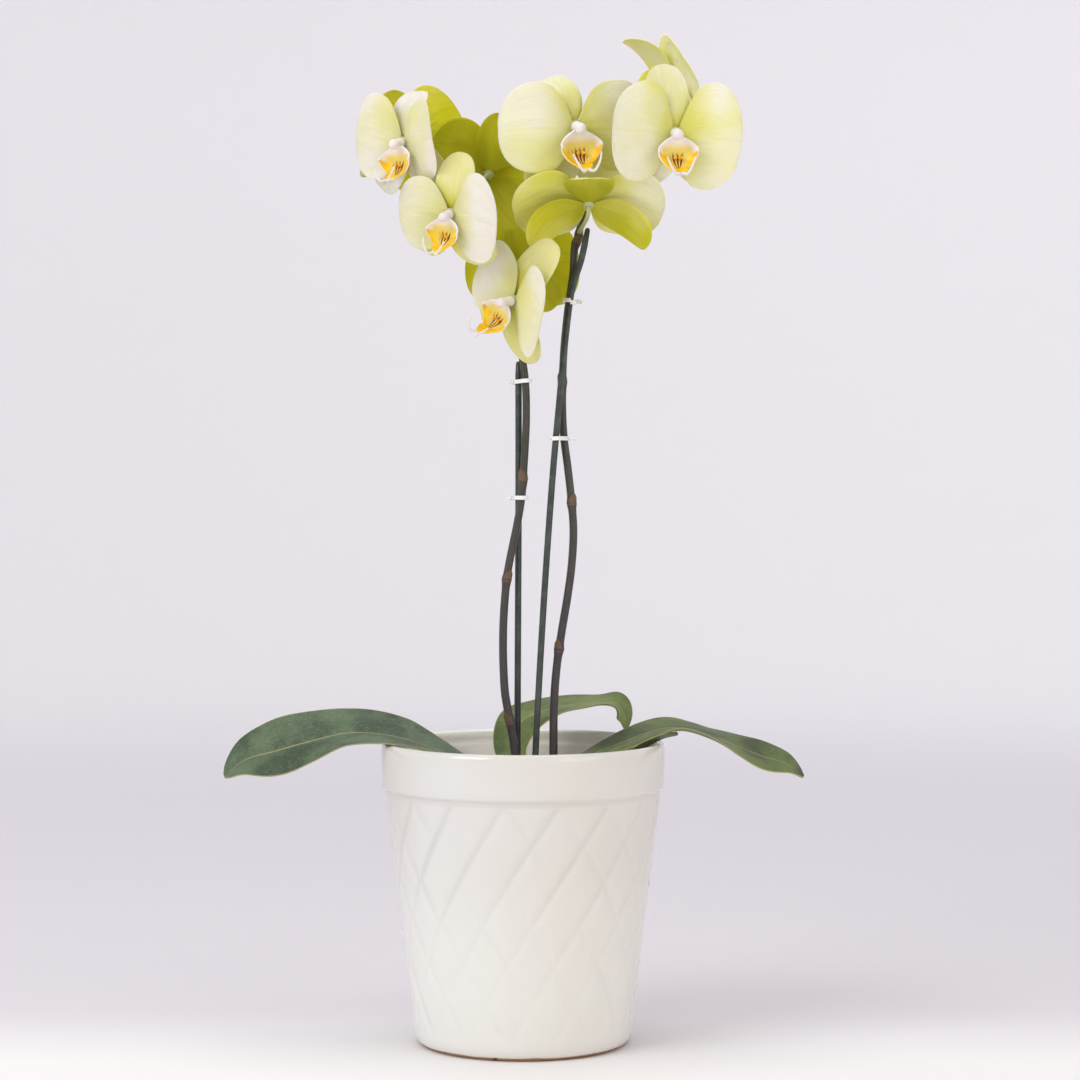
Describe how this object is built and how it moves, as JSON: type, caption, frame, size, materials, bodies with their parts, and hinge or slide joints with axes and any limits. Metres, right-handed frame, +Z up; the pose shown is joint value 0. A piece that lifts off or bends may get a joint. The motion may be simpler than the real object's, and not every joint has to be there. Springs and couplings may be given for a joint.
{
  "type": "potted orchid",
  "caption": "Moth orchid with strap leaves and tied flower spikes of pale yellow-green blooms, in a white glazed pot with a diagonal lattice relief and a plain rim band.",
  "frame": {"origin": "centre of the pot's flat underside", "axes": "+Z up along the plant's height, -Y towards the viewer, +X to the viewer's right"},
  "size_m": [0.3529, 0.171, 0.6106],
  "materials": {
    "glaze": "glossy white glaze",
    "bark": "rough bark chips",
    "crown": "dull green stem and grey roots",
    "leaf": "thick leaf with a soft waxy sheen",
    "spike": "smooth dark purple-brown stem",
    "stake": "coated dark green wire stake",
    "tie": "white coated wire",
    "petal": "soft petal with a faint sheen",
    "lip": "waxy lip, white, yellow and red-brown"
  },
  "bodies": {
    "root": {"pot": "glaze", "bark": "bark", "crown": "crown", "leaf_left": "leaf", "leaf_right": "leaf", "leaf_right_lower": "leaf", "leaf_back": "leaf", "spike_left": "spike", "spike_right": "spike", "stake_left": "stake", "stake_right": "stake", "tie_left_lower": "tie", "tie_left_upper": "tie", "tie_right_lower": "tie", "tie_right_upper": "tie", "bloom_1": "petal", "lip_1": "lip", "bloom_2": "petal", "lip_2": "lip", "bloom_3": "petal", "lip_3": "lip", "bloom_4": "petal", "lip_4": "lip", "bloom_5": "petal", "lip_5": "lip", "bloom_6": "petal", "lip_6": "lip", "bloom_7": "petal", "lip_7": "lip", "bloom_8": "petal", "lip_8": "lip", "bloom_9": "petal", "lip_9": "lip", "bloom_10": "petal", "lip_10": "lip"}
  },
  "joints": []
}
